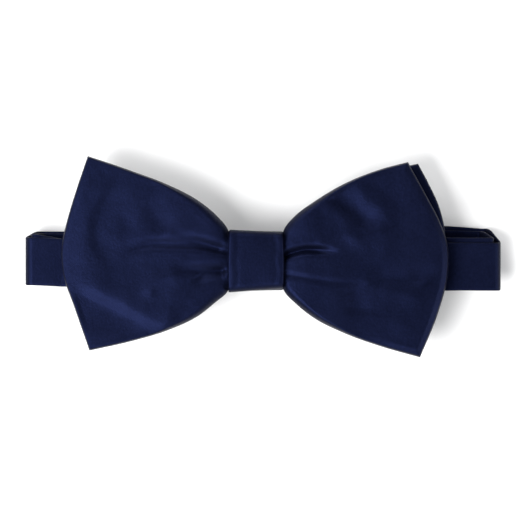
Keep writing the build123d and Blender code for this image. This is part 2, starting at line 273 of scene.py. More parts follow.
def thread_material(name):
    """Twisted navy sewing thread."""
    material, nodes, links, shader = new_material(name)
    twist = wave_texture(nodes, links, object_coordinates(nodes, links, 35), 0.22, 0.3)
    fuzz = noise_texture(nodes, links, object_coordinates(nodes, links), 0.3)
    shade = blend_values(nodes, links, twist, fuzz, 0.4)
    dark, light = THREAD_COLOURS
    paint(nodes, links, shader, shade, [(0.2, dark), (0.8, light)])
    bump(nodes, links, shader, twist, 0.05)
    shader.inputs["Roughness"].default_value = 0.55
    shader.inputs["Sheen Weight"].default_value = 0.3
    return material


def nickel_material(name):
    """Nickel plate with faint draw lines, handling marks and duller worn patches."""
    material, nodes, links, shader = new_material(name)
    lines = noise_texture(nodes, links, object_coordinates(nodes, links, 0, (1, 0.06, 1)), 0.25)
    patches = noise_texture(nodes, links, object_coordinates(nodes, links), 3.0, 4.0)
    dark, light = NICKEL_COLOURS
    paint(nodes, links, shader, patches, [(0.35, dark), (0.65, light)])
    wear = blend_values(nodes, links, lines, patches, 0.5)
    links.new(map_range(nodes, links, wear, 0.16, 0.42), shader.inputs["Roughness"])
    bump(nodes, links, shader, lines, 0.006)
    shader.inputs["Metallic"].default_value = 1.0
    return material


# ---------------------------------------------------------------- curves and meshes

def smooth_curve(points, count):
    """A smooth curve through given points, as count points evenly spaced along it."""
    points = np.array(points, float)
    knots = np.concatenate([[0], np.cumsum(np.linalg.norm(np.diff(points, axis=0), axis=1))])
    slopes = np.gradient(points, knots, axis=0, edge_order=1)
    at = np.linspace(0, knots[-1], 40 * len(points))
    span = np.clip(np.searchsorted(knots, at, side="right") - 1, 0, len(points) - 2)
    width = (knots[span + 1] - knots[span])[:, None]
    t = (at - knots[span])[:, None] / width
    start, end = points[span], points[span + 1]
    line = (start * (2 * t**3 - 3 * t**2 + 1) + end * (3 * t**2 - 2 * t**3)
            + slopes[span] * width * (t**3 - 2 * t**2 + t)
            + slopes[span + 1] * width * (t**3 - t**2))
    return spaced(line, count)


def spaced(line, count):
    """The same line as count points evenly spaced along it."""
    steps = np.linalg.norm(np.diff(line, axis=0), axis=1)
    along = np.concatenate([[0], np.cumsum(steps)])
    wanted = np.linspace(0, along[-1], count)
    return np.stack([np.interp(wanted, along, line[:, k]) for k in range(line.shape[1])], 1)


def profile(x, points):
    """A smooth height at x, through given (x, height) points, level past both ends."""
    curve = smooth_curve(points, 300)
    return np.interp(x, curve[:, 0], curve[:, 1])


def smoothstep(x, low, high):
    t = np.clip((x - low) / (high - low), 0, 1)
    return t * t * (3 - 2 * t)


def ripple(x, y, size, seed):
    """Gentle repeatable unevenness, about -1 to 1, with lumps of that size in millimetres."""
    return np.array([
        noise.noise(Vector((a / size, b / size, seed * 7.31)))
        for a, b in zip(np.ravel(x), np.ravel(y))
    ]).reshape(np.shape(x))


def make_piece(name, points, faces, material):
    """A mesh object from points in millimetres: smooth-shaded, apart from its flat end caps."""
    mesh = bpy.data.meshes.new(name)
    mesh.from_pydata((np.asarray(points) * MM).tolist(), [], faces)
    mesh.update()
    build = bmesh.new()
    build.from_mesh(mesh)
    bmesh.ops.remove_doubles(build, verts=build.verts, dist=1e-7)
    bmesh.ops.recalc_face_normals(build, faces=build.faces)
    build.to_mesh(mesh)
    build.free()
    mesh.polygons.foreach_set("use_smooth", [len(p.vertices) == 4 for p in mesh.polygons])
    mesh.materials.append(material)
    piece = bpy.data.objects.new(name, mesh)
    bpy.context.scene.collection.objects.link(piece)
    return piece


def ring_faces(rings, around, closed=False):
    """Quads between neighbouring rings of points, and from the last to the first if closed."""
    faces = []
    last = rings if closed else rings - 1
    for i in range(last):
        for j in range(around):
            a = i * around + j
            b = i * around + (j + 1) % around
            c = (i + 1) % rings * around + (j + 1) % around
            d = (i + 1) % rings * around + j
            faces.append((a, b, c, d))
    return faces


def end_caps(rings, around):
    """One face over the first ring of points and one over the last."""
    first = tuple(range(around - 1, -1, -1))
    last = tuple((rings - 1) * around + j for j in range(around))
    return [first, last]


def span(node):
    """A CAD node's lowest and highest corners in millimetres."""
    low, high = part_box(node)
    return np.array(low) / MM, np.array(high) / MM


def middle_line(node):
    """The middle points of a level CAD strap at each of its stations, from low to high x."""
    points = np.array([v.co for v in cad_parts[node].data.vertices]) / MM
    stations = sorted(set(np.round(points[:, 0], 2)))
    faces = [points[np.abs(points[:, 0] - x) < 0.02] for x in stations]
    return np.array([(face.min(axis=0) + face.max(axis=0)) / 2 for face in faces])


# ---------------------------------------------------------------- relief of pleated satin

def to_path(x, y, path):
    """For each point: its distance from the path, its side of it, and how far along it is."""
    line = smooth_curve(path, 90) if len(path) > 2 else spaced(np.array(path, float), 60)
    flat = np.stack([np.ravel(x), np.ravel(y)], 1)
    best = np.full(len(flat), np.inf)
    side = np.zeros(len(flat))
    along = np.zeros(len(flat))
    for k in range(len(line) - 1):
        step = line[k + 1] - line[k]
        away = flat - line[k]
        t = np.clip(away @ step / (step @ step), 0, 1)
        gap = away - t[:, None] * step
        distance = np.hypot(gap[:, 0], gap[:, 1])
        near = distance < best
        best[near] = distance[near]
        side[near] = np.sign(step[0] * away[near, 1] - step[1] * away[near, 0])
        along[near] = (k + t[near]) / (len(line) - 1)
    shape = np.shape(x)
    return best.reshape(shape), side.reshape(shape), along.reshape(shape)


def fold(x, y, path, height, left, right, fade_in=0.0, fade_out=0.25, sharp=2.0):
    """A ridge (height above 0) or valley (below 0) along a path in X and Y.

    left and right are its widths on the two sides of the path. It grows and dies away over
    the fade_in and fade_out shares of its length. sharp is 2 for a soft roll and nearer 1
    for a creased pleat.
    """
    distance, side, along = to_path(x, y, path)
    width = np.where(side > 0, left, right)
    strength = np.ones_like(along)
    if fade_in:
        strength = strength * smoothstep(along, 0, fade_in)
    if fade_out:
        strength = strength * (1 - smoothstep(along, 1 - fade_out, 1))
    return height * strength * np.exp(-((distance / width) ** sharp))


# Outlines of the wings, from the knot outwards, and of their outer edges from top to bottom.
LEFT_TOP = [(-8.0, 8.0), (-8.9, 10.1), (-12.5, 14.4), (-18.1, 18.9), (-27.5, 23.8), (-38.8, 28.1),
            (-52.5, 32.8)]
LEFT_BOTTOM = [(-8.0, -7.8), (-8.9, -9.6), (-12.5, -12.8), (-18.1, -17.2), (-27.5, -21.6),
               (-38.8, -25.0), (-52.0, -28.0)]
LEFT_OUTER = [(-52.5, 32.8), (-55.9, 22.8), (-58.9, 12.8), (-60.8, 3.0), (-60.3, -3.5),
              (-56.6, -14.7), (-52.0, -28.0)]
RIGHT_TOP = [(8.0, 8.0), (8.9, 10.2), (12.5, 14.4), (18.1, 18.5), (27.5, 24.1), (38.8, 28.6),
             (47.4, 30.9)]
RIGHT_BOTTOM = [(8.0, -7.8), (8.9, -9.6), (12.5, -13.4), (18.1, -17.8), (27.5, -22.5),
                (38.8, -26.6), (51.2, -30.1)]
RIGHT_OUTER = [(47.4, 30.9), (52.7, 21.3), (57.4, 12.2), (59.6, 6.0), (59.9, -4.0),
               (56.9, -16.0), (51.2, -30.1)]
BACK_LEFT_TOP = [(-8.0, 7.8), (-9.0, 9.0), (-18.1, 17.6), (-27.5, 22.6), (-38.8, 26.8),
                 (-51.2, 31.2)]
BACK_LEFT_BOTTOM = [(-8.0, -7.6), (-9.0, -8.6), (-18.1, -16.0), (-27.5, -20.4), (-38.8, -23.8),
                    (-50.6, -26.4)]
BACK_LEFT_OUTER = [(-51.2, 31.2), (-57.4, 12.6), (-59.3, 2.0), (-55.6, -14.2), (-50.6, -26.4)]
BACK_RIGHT_TOP = [(8.0, 7.8), (9.0, 9.0), (18.1, 17.4), (27.5, 22.9), (38.8, 27.7), (50.6, 30.4)]
BACK_RIGHT_BOTTOM = [(8.0, -7.6), (9.0, -8.6), (18.1, -16.4), (27.5, -21.2), (38.8, -25.2),
                     (49.6, -28.4)]
BACK_RIGHT_OUTER = [(50.6, 30.4), (53.5, 25.0), (57.2, 17.0), (59.0, 9.5), (58.6, -4.0),
                    (55.6, -15.6), (49.6, -28.4)]


def mound(x, y, centre, radius, height):
    """A soft round rise (height above 0) or dent (below 0)."""
    away = np.hypot(x - centre[0], y - centre[1])
    return height * np.exp(-((away / radius) ** 2))


def crumple(x, y, seed):
    """Slight unevenness of pressed cloth, in two sizes."""
    return 0.10 * ripple(x, y, 7.0, seed) + 0.035 * ripple(x, y, 2.6, seed + 0.4)


def left_relief(x, y):
    """Pleats, folds and dents in the face of the front bow's left wing."""
    z = crumple(x, y, 1)
    # The big curl: a crest along the outer side, then a hollow, then soft lumps inside it.
    z += fold(x, y, [(-44.0, 26.0), (-50.5, 18.5), (-53.0, 12.0), (-52.6, 6.0), (-50.5, 0.5),
                     (-47.0, -4.5)], 0.28, 2.6, 6.5, 0.2, 0.3)
    z += fold(x, y, [(-40.5, 24.5), (-47.0, 17.5), (-49.4, 11.0), (-48.8, 5.0), (-46.2, 0.5),
                     (-42.0, -4.5)], -0.28, 5.5, 2.2, 0.3, 0.3)
    z += mound(x, y, (-40.2, 11.0), 3.3, -0.32)
    z += mound(x, y, (-36.0, 8.0), 4.0, 0.12)
    z += fold(x, y, [(-34.0, 20.0), (-31.0, 13.5), (-26.5, 8.5)], -0.32, 4.8, 3.2, 0.3, 0.2)
    z += mound(x, y, (-13.0, 13.0), 5.0, 0.30)
    # Upper pleat, from the knot to the foot of the curl, and the short one that joins it.
    z += fold(x, y, [(-7.5, 2.6), (-12.0, 3.6), (-18.0, 4.8), (-25.0, 5.1), (-32.0, 5.0),
                     (-38.0, 3.9), (-43.0, 1.6)], -1.1, 1.2, 1.8, 0, 0.4)
    z += fold(x, y, [(-10.0, 3.6), (-15.0, 5.2), (-20.0, 6.8), (-27.0, 8.8)],
              -0.50, 1.2, 1.6, 0.1, 0.5)
    # Tongue between the two pleats, the lower pleat and the wedge that opens below it.
    z += fold(x, y, [(-7.5, -2.4), (-14.0, -2.8), (-20.0, -2.9), (-27.0, -2.4)],
              -1.1, 1.1, 1.8, 0, 0.5)
    z += fold(x, y, [(-9.0, -3.4), (-13.0, -3.7), (-17.0, -4.7), (-20.5, -6.8)],
              -1.3, 1.9, 1.3, 0.15, 0.4)
    # Rounded lobe below the tongue.
    z += fold(x, y, [(-32.5, -13.5), (-33.0, -9.2), (-30.0, -6.2), (-25.5, -4.6), (-21.0, -5.0)],
              0.55, 2.8, 1.9, 0.3, 0.3)
    z += mound(x, y, (-25.5, -10.0), 4.0, 0.2)
    # Long rolled ridge, steep on its lower side, and the flat corner under it.
    z += fold(x, y, [(-58.0, -4.4), (-53.0, -6.8), (-48.0, -9.2), (-42.0, -12.4), (-36.0, -15.8),
                     (-29.5, -18.6), (-22.0, -19.4)], 0.48, 6.0, 2.7, 0.25, 0.15)
    z += fold(x, y, [(-59.0, -9.4), (-50.0, -13.2), (-42.0, -17.2), (-34.0, -20.8)],
              -0.42, 2.4, 7.0, 0.3, 0.2)
    return z


def right_relief(x, y):
    """Pleats, folds and dents in the face of the front bow's right wing."""
    z = crumple(x, y, 2) + 0.7 * smoothstep(x, 28, 54)
    # Short upper pleat with a pinched bump at its end.
    z += fold(x, y, [(7.5, 1.0), (11.0, 2.4), (15.0, 3.4), (19.0, 3.4), (27.0, 2.4)],
              -1.8, 1.1, 1.1, 0, 0.5)
    z += mound(x, y, (20.4, 5.8), 1.8, 0.20)
    # Lobe beside the knot, and the deep dent with a rolled ridge all round it.
    z += mound(x, y, (17.0, 12.0), 4.5, 0.25)
    z += fold(x, y, [(19.0, 18.6), (25.0, 16.4), (28.6, 12.4), (29.2, 8.8), (31.5, 6.6),
                     (36.0, 7.0)], 0.30, 2.0, 2.6, 0.25, 0.3)
    z += fold(x, y, [(21.5, 21.0), (27.5, 18.2), (32.2, 14.4), (34.8, 11.2), (34.6, 8.8)],
              -0.90, 4.6, 2.5, 0.25, 0.25)
    z += fold(x, y, [(29.0, 24.0), (36.0, 18.6), (40.6, 12.5), (41.4, 7.5), (39.0, 2.5),
                     (33.0, 0.4)], 0.24, 2.2, 4.0, 0.2, 0.3)
    z += fold(x, y, [(35.0, 27.0), (41.0, 21.0), (44.6, 13.0), (44.8, 5.0)],
              -0.20, 6.0, 2.2, 0.2, 0.3)
    z += fold(x, y, [(24.5, 6.4), (29.0, 7.4), (34.0, 8.0), (38.5, 9.4), (41.0, 12.0)],
              0.36, 1.8, 3.6, 0.6, 0.2)
    z += fold(x, y, [(33.0, 21.0), (40.0, 20.4), (48.0, 18.0)], -0.20, 4.5, 2.5, 0.25, 0.3)
    # Lower pleat: a thin crease that turns into a soft hollow with a ridge under it.
    z += fold(x, y, [(7.5, -3.8), (14.0, -5.0), (24.0, -6.6), (36.0, -7.0)],
              -0.26, 1.0, 0.8, 0, 0.35)
    z += fold(x, y, [(34.0, -6.0), (42.0, -5.4), (48.0, -6.0), (53.0, -4.0), (58.0, -0.6)],
              -0.62, 4.0, 2.0, 0.25, 0.35)
    z += fold(x, y, [(37.0, -9.4), (44.0, -9.3), (50.0, -9.4), (55.5, -6.0)],
              0.25, 1.8, 3.4, 0.25, 0.25)
    # Small dents low on the wing and the crest inside its outer edge.
    z += fold(x, y, [(28.6, -7.0), (30.4, -12.0), (30.4, -17.5)], -0.60, 4.5, 2.4, 0.25, 0.3)
    z += fold(x, y, [(52.0, -9.0), (49.4, -17.0), (45.0, -25.0)], 0.22, 4.0, 6.0, 0.2, 0.3)
    return z


def back_relief(x, y):
    """Shallow gathers that run out from the knot on the back of the bow."""
    z = np.zeros_like(x)
    for side in (-1, 1):
        for start, end, depth in ((4.5, 14.0, 0.7), (1.2, 4.5, 0.9), (-2.4, -6.0, 0.9),
                                  (-5.0, -15.0, 0.6)):
            z += fold(x, y, [(side * 7.5, start), (side * 18.0, (start + end) / 2),
                             (side * 34.0, end)], -depth, 1.0, 1.2, 0, 0.7, 1.4)
    return z + 0.10 * ripple(x, y, 9.0, 3)


# ---------------------------------------------------------------- bow

FRONT_FACE = [(8, 17.7), (12, 18.2), (22, 18.4), (34, 17.9), (50, 17.2), (54, 17.0), (61, 16.3)]
FRONT_RIM = [(8, 15.7), (14, 15.3), (30, 14.3), (62, 13.9)]
FRONT_BACK = [(8, 14.4), (14, 13.6), (30, 13.1), (62, 13.0)]
BACK_FACE = [(8, 13.9), (12, 13.7), (30, 12.9), (62, 12.7)]
BACK_RIM = [(8, 12.4), (30, 11.9), (62, 11.8)]
BACK_BACK = [(8, 11.3), (12, 11.0), (30, 10.95), (62, 10.95)]

# Points along and across a wing, the roll of its edge, and its least thickness.
FRONT_GRID = (150, 150)
FRONT_ROLL = 0.6
FRONT_LEAST = 0.9
BACK_GRID = (90, 90)
BACK_ROLL = 0.8
BACK_LEAST = 0.5
INTERLINING_GRID = (40, 40)
INTERLINING_ROLL = 0.3
INTERLINING_LEAST = 0.2
INTERLINING_SHARE = (0.95, 0.86)        # of the wing's size in X and in Y
INTERLINING_LIFTS = (0.30, 0.15, 0.0)   # its face, rim and rear, above the rear of the wing
WAIST_RINGS = 9


def edge_spread(count, both_ends):
    """Shares from 0 to 1, closer together where a rounded edge needs it."""
    even = np.linspace(0, 1, count + 1)
    if both_ends:
        return 0.45 * even + 0.55 * (0.5 - 0.5 * np.cos(math.pi * even))
    return 0.45 * even + 0.55 * np.sin(0.5 * math.pi * even)


def wing_plan(top, bottom, outer, stations, across):
    """A grid over one wing, (stations + 1) by (across + 1) points in X and Y, and its edge."""
    u = edge_spread(stations, False)
    v = edge_spread(across, True)
    fine = np.linspace(0, 1, 400)

    def at(points, where):
        line = smooth_curve(points, 400)
        return np.stack([np.interp(where, fine, line[:, k]) for k in range(2)], 1)

    upper, lower = at(top, u), at(bottom, u)
    inner = lower[0] + (upper[0] - lower[0]) * v[:, None]
    tip = at(outer[::-1], v)
    w = v[None, :, None]
    s = u[:, None, None]
    plan = (lower[:, None] * (1 - w) + upper[:, None] * w + inner[None] * (1 - s) + tip[None] * s
            - (1 - s) * (lower[0] * (1 - w) + upper[0] * w)
            - s * (tip[0] * (1 - w) + tip[-1] * w))
    edge = np.concatenate([at(top, fine), at(outer, fine), at(bottom, fine)[::-1]])
    return plan[..., 0], plan[..., 1], edge


def distance_to(x, y, line):
    """How far each point is from the nearest point of a finely drawn line."""
    flat = np.stack([np.ravel(x), np.ravel(y)], 1)
    best = np.full(len(flat), np.inf)
    for start in range(0, len(line), 100):
        part = line[start:start + 100]
        gap = np.linalg.norm(flat[:, None] - part[None], axis=2).min(1)
        best = np.minimum(best, gap)
    return best.reshape(np.shape(x))


def rounded(distance, radius):
    """Height share of a surface that rolls over its edge with that radius."""
    share = np.clip(distance / radius, 0, 1)
    return np.sqrt(np.clip(1 - (1 - share) ** 2, 0, 1))


def wing_rings(outlines, profiles, relief, under_relief, stations, across, edge_roll, least):
    """Closed rings of one wing, from the knot outwards: over its face and back along its rear."""
    x, y, edge = wing_plan(*outlines, stations, across)
    face, rim, rear = (profile(np.abs(x), points) for points in profiles)
    gap = distance_to(x, y, edge)
    gap[:, 0] = gap[:, -1] = gap[-1, :] = 0
    near_knot = 1 - smoothstep(np.abs(x), 10, 34)
    roll = edge_roll + 2.0 * near_knot
    crown = rounded(gap, roll)
    inside = smoothstep(gap, 0.2, 2.4)
    top = rim + (face - rim) * crown + relief(x, y) * inside
    low = rim + (rear - rim) * rounded(gap, edge_roll + 1.5 * near_knot)
    low = low - under_relief(x, y) * inside
    top = np.maximum(top, low + least * crown)
    front = np.stack([x, y, top], 2)
    back = np.stack([x, y, low], 2)
    return np.concatenate([front, back[:, -2:0:-1]], axis=1)


def waist_rings(left, right, count):
    """Rings through the knot that carry one wing's root over to the other's, pinched midway."""
    rings = []
    for share in np.linspace(0, 1, count + 2)[1:-1]:
        ring = left * (1 - share) + right * share
        pinch = 1 - 0.10 * math.sin(math.pi * share)
        middle = ring[:, 2].mean()
        ring[:, 1] *= pinch
        ring[:, 2] = middle + (ring[:, 2] - middle) * (1 + 0.6 * math.sin(math.pi * share))
        rings.append(ring)
    return rings


def bow_mesh(name, wings, profiles, relief, under_relief, grid, roll, least, material):
    """Both wings and the waist between them, as one closed skin at least that thick."""
    left, right = (
        wing_rings(outlines, profiles, face_relief, under_relief, *grid, roll, least)
        for outlines, face_relief in zip(wings, relief)
    )
    middle = waist_rings(left[0], right[0], WAIST_RINGS)
    rings = [*left[::-1], *middle, *right]
    around = len(rings[0])
    points = np.concatenate(rings)
    return make_piece(name, points, ring_faces(len(rings), around), material)


def flat(x, y):
    """No relief at all."""
    return np.zeros_like(x)


def drawn_in(points, across, up):
    """The same outline at those shares of its size in X and in Y."""
    return [(x * across, y * up) for x, y in points]


def make_bows(satin, interlining):
    """The front and back bow, each a padded satin tube with an interlining inside."""
    front_wings = [(LEFT_TOP, LEFT_BOTTOM, LEFT_OUTER), (RIGHT_TOP, RIGHT_BOTTOM, RIGHT_OUTER)]
    back_wings = [(BACK_LEFT_TOP, BACK_LEFT_BOTTOM, BACK_LEFT_OUTER),
                  (BACK_RIGHT_TOP, BACK_RIGHT_BOTTOM, BACK_RIGHT_OUTER)]
    front_profiles = (FRONT_FACE, FRONT_RIM, FRONT_BACK)
    back_profiles = (BACK_FACE, BACK_RIM, BACK_BACK)
    front = bow_mesh("front_bow", front_wings, front_profiles, (left_relief, right_relief),
                     flat, FRONT_GRID, FRONT_ROLL, FRONT_LEAST, satin)
    back = bow_mesh("back_bow", back_wings, back_profiles, (flat, flat),
                    back_relief, BACK_GRID, BACK_ROLL, BACK_LEAST, satin)
    for piece, node, fill in ((front, "front_bow_satin", 0.35), (back, "back_bow_satin", 0.25)):
        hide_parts(node)
        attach(piece, "bow")
    for name, wings, rear, rise, node in (
        ("front_interlining", front_wings, FRONT_BACK, 0.25, "front_bow_interlining"),
        ("back_interlining", back_wings, BACK_BACK, 0.85, "back_bow_interlining"),
    ):
        make_interlining(name, wings, rear, rise, node, interlining)


def make_interlining(name, wings, rear, rise, node, material):
    """A thin woven sheet inside a bow, just above its rear and a little smaller all round."""
    inner = [[drawn_in(line, *INTERLINING_SHARE) for line in outlines] for outlines in wings]
    profiles = [[(x, z + rise + up) for x, z in rear] for up in INTERLINING_LIFTS]
    piece = bow_mesh(name, inner, profiles, (flat, flat), flat, INTERLINING_GRID,
                     INTERLINING_ROLL, INTERLINING_LEAST, material)
    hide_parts(node)
    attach(piece, "bow")


# ---------------------------------------------------------------- knot

KNOT_HALF_WIDTH = 8.6
KNOT_SATIN = 0.5
KNOT_CORNER = 2.3
STIFFENER = 0.5
STIFFENER_INSET = 0.7                   # at each side of the wrap
STIFFENER_DEPTH = 0.55                  # under the wrap's surface


def knot_section(half_height, low, high, corner, count):
    """A rounded rectangle in Y and Z, evenly spaced, starting at the middle of its rear."""
    centres = [(half_height - corner, low + corner, -90), (half_height - corner, high - corner, 0),
               (-half_height + corner, high - corner, 90), (-half_height + corner, low + corner, 180)]
    points = [(0.0, low)]
    for y, z, start in centres:
        for angle in np.radians(np.linspace(start, start + 90, 12)):
            points.append((y + corner * math.cos(angle), z + corner * math.sin(angle)))
    points.append((0.0, low))
    return spaced(np.array(points), count + 1)[:-1]


def knot_tube(name, half_width, depth, thickness, material, detail):
    """A band of cloth wrapped round the waist, with rolled edges at both sides."""
    low, high = span("knot_wrap")
    half_height = (high[1] - low[1]) / 2 - depth
    bottom, top = low[2] + depth, high[2] - depth
    around, across = 150, 46
    corner = KNOT_CORNER - depth
    outer = knot_section(half_height, bottom, top, corner, around)
    inner = knot_section(half_height - thickness, bottom + thickness, top - thickness,
                         corner - thickness, around)
    outward = outer - inner
    outward /= np.linalg.norm(outward, axis=1)[:, None]
    centre_line = (outer + inner) / 2
    loop = []
    for share in np.linspace(-1, 1, across):
        edge = (1 - abs(share)) * half_width
        loop.append((share, thickness / 2 * rounded(edge, thickness * 0.9)))
    profile_points = [(s, t) for s, t in loop] + [(s, -t) for s, t in loop[-2:0:-1]]
    rings = []
    for share, offset in profile_points:
        x = share * half_width
        y, z = (centre_line + outward * offset).T
        on_front = smoothstep(z, 8.5, 12.0)
        bulge = detail * on_front * (0.38 * (1 - (y / half_height) ** 2) - 0.18)
        taper = 1 - detail * (0.012 + 0.055 * share) * on_front
        relief = detail * knot_relief(share, y / half_height) * smoothstep(z, 16.0, 19.0)
        rings.append(np.stack([
            x + np.sign(share) * abs(share) ** 3 * bulge - detail * 0.012 * y * share * on_front,
            y * taper + detail * (0.12 + 0.14 * share) * on_front,
            z + relief * (offset > 0),
        ], 1))
    faces = ring_faces(len(rings), around, True)
    return make_piece(name, np.concatenate(rings), faces, material)


def knot_relief(share, up):
    """Height of the front of the knot: a soft crown, rolled hems down both sides, a few pulls."""
    crown = 0.35 * (1 - up**2) * (1 - 0.6 * share**2)
    wander = 0.03 * np.sin(7.0 * up + 2.0 * share)
    hem = 0.09 * np.exp(-(((abs(share) - 0.86 + wander) / 0.10) ** 2))
    groove = -0.05 * np.exp(-(((abs(share) - 0.68 + wander) / 0.08) ** 2))
    pulls = 0.06 * np.sin(5.0 * share + 2.6 * up) * np.abs(up)
    return crown + hem + groove + pulls


def make_knot(satin, interlining):
    """The satin wrap round the waist, and the stiffener strip under it."""
    wrap = knot_tube("knot_wrap_cloth", KNOT_HALF_WIDTH, 0.0, KNOT_SATIN, satin, 1.0)
    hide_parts("knot_wrap")
    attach(wrap, "bow")
    half_width = KNOT_HALF_WIDTH - STIFFENER_INSET
    stiffener = knot_tube("knot_stiffener_strip", half_width, STIFFENER_DEPTH, STIFFENER,
                          interlining, 0.9)
    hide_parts("knot_stiffener")
    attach(stiffener, "bow")


# ---------------------------------------------------------------- neck band

STRAP_HALF_WIDTH = (span("band_knot_run")[1][1] - span("band_knot_run")[0][1]) / 2
STRAP = 0.7
WRAP = 0.55
OUTER_CORNER = 2.0
INNER_CORNER = 1.2
EYE_WIRE = 1.0
HOOK_WIRE = 0.9
BAR_TURN = 0.9                          # from a bar's axis to the middle of the strap round it
SECTION_ACROSS = 26
SECTION_EDGE = 5


def strap_section(half_width, thickness):
    """Points round a flat strap with rolled edges: (across, through), starting at one edge."""
    half = thickness / 2
    flat_part = half_width - half
    across = np.linspace(-flat_part, flat_part, SECTION_ACROSS)
    turn = np.radians(np.linspace(90, -90, SECTION_EDGE + 2)[1:-1])
    over = [(a, half) for a in across]
    right = [(flat_part + half * math.cos(t), half * math.sin(t)) for t in turn]
    under = [(a, -half) for a in across[::-1]]
    left = [(-flat_part - half * math.cos(t), -half * math.sin(t)) for t in turn]
    return np.array(over + right + under + left)


def with_square_ends(route, step=0.03):
    """The same line with one more point just inside each end, so that the ends stay crisp."""
    route = np.asarray(route, float)
    first = route[0] + [math.copysign(step, route[1, 0] - route[0, 0]), 0, 0]
    last = route[-1] + [math.copysign(step, route[-2, 0] - route[-1, 0]), 0, 0]
    return np.concatenate([route[:1], [first], route[1:-1], [last], route[-1:]])


def strap_mesh(name, route, material, thickness=STRAP, seed=0, calm=0.06):
    """A strap whose middle line follows route, (x, y, z) points, with its width along Y."""
    route = with_square_ends(route)
    ahead = np.gradient(route, axis=0)
    ahead[[0, 1, -2, -1], 1:] = 0
    through = np.stack([-ahead[:, 2], np.zeros(len(route)), ahead[:, 0]], 1)
    through /= np.linalg.norm(through, axis=1)[:, None]
    if ahead[0, 0] < 0:
        through = -through
    section = strap_section(STRAP_HALF_WIDTH, thickness)
    rings = []
    for centre, normal in zip(route, through):
        across = np.array([0, 1, 0])
        ring = centre + section[:, :1] * across + section[:, 1:] * normal
        edge = np.abs(section[:, 0]) / STRAP_HALF_WIDTH
        wave = calm * ripple(ring[:, 0], ring[:, 1], 9.0, seed)
        ring = ring + normal * (wave * (1 - edge**6))[:, None]
        ring[:, 1] += 0.10 * ripple([centre[0]], [centre[2] * 3], 11.0, seed + 0.5)
        rings.append(ring)
    around = len(section)
    faces = ring_faces(len(rings), around) + end_caps(len(rings), around)
    return make_piece(name, np.concatenate(rings), faces, material)


def end_fold(front, back, corner):
    """The strap's middle line round an end fold, from the front layer in to the back layer."""
    side = 1 if front[0] > 0 else -1
    top, bottom = front[2] - corner, back[2] + corner
    lean = math.atan2(abs(front[0] - back[0]), top - bottom)
    upper = np.linspace(math.pi / 2, -lean, 14)
    lower = np.linspace(-lean, -math.pi / 2, 10)
    line = np.concatenate([
        np.stack([front[0] + side * corner * np.cos(upper), top + corner * np.sin(upper)], 1),
        np.stack([back[0] + side * corner * np.cos(lower), bottom + corner * np.sin(lower)], 1),
    ])
    line = spaced(line, 34)
    drop = smoothstep((front[2] - line[:, 1]) / (front[2] - back[2]), 0.08, 0.92)
    return np.stack([line[:, 0], front[1] + (back[1] - front[1]) * drop, line[:, 1]], 1)


def run_line(node, step=0.8):
    """A smooth middle line along a level CAD strap."""
    stations = middle_line(node)
    length = np.linalg.norm(np.diff(stations, axis=0), axis=1).sum()
    count = max(4, int(length / step) + 1)
    if len(stations) == 2:
        return spaced(stations, count)
    return smooth_curve(stations, count)


def finish_strap(piece, nodes, body, route, between=None):
    """Hides the CAD nodes a stretch of strap stands for, and hangs it on the body it rides on, or
    fixes it where it lies if it runs between two.
    """
    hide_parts(*nodes)
    if between:
        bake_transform(piece)
    else:
        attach(piece, body)
    route = np.asarray(route)


def run_between(node, piece_name, material, body, between, seed):
    """A level stretch of strap that stands for one CAD run."""
    route = run_line(node)
    piece = strap_mesh(piece_name, route, material, seed=seed)
    finish_strap(piece, [node], body, route, between)


def make_band_folds(material):
    """Outer and inner layers round both end folds, and along the back of the band."""
    for seed, layer, corner in ((10, "outer", OUTER_CORNER), (11, "inner", INNER_CORNER)):
        back_line = run_line(f"band_back_{layer}")
        fold_line = end_fold(middle_line(f"band_left_{layer}")[0], back_line[0], corner)
        route = np.concatenate([fold_line, back_line[1:]])
        piece = strap_mesh(f"strap_back_{layer}", route, material, seed=seed)
        finish_strap(piece, [f"band_left_{layer}_fold", f"band_back_{layer}"], "band", route)

        upper = middle_line(f"band_right_{layer}_end")[-1]
        lower = middle_line(f"band_back_{layer}_end")[-1]
        route = end_fold(upper, lower, corner)
        piece = strap_mesh(f"strap_right_fold_{layer}", route, material, seed=seed)
        finish_strap(piece, [f"band_right_{layer}_fold"], "right_loop", route)


def make_band_runs(material):
    """The level stretches of the band, some of which run between it and the slide, the hook or the
    fold.
    """
    run_x = middle_line("band_slider_run")[:, 0]
    run_between("band_slider_run", "strap_slider_run", material, "band",
                ("slider", run_x[0], run_x[-1]), 20)
    for layer, seed in (("outer", 10), ("inner", 11)):
        right = middle_line(f"band_right_{layer}")[:, 0]
        run_between(f"band_right_{layer}", f"strap_right_{layer}", material, "slider",
                    ("band", right[0], right[-1]), seed)
        for side in ("right", "back"):
            end = middle_line(f"band_{side}_{layer}_end")[:, 0]
            run_between(f"band_{side}_{layer}_end", f"strap_{side}_{layer}_end", material, "band",
                        ("right_loop", end[0], end[-1]), seed)
        left = middle_line(f"band_left_{layer}")[:, 0]
        run_between(f"band_left_{layer}", f"strap_left_{layer}", material, "band",
                    ("hook", left[0], left[-1]), seed)


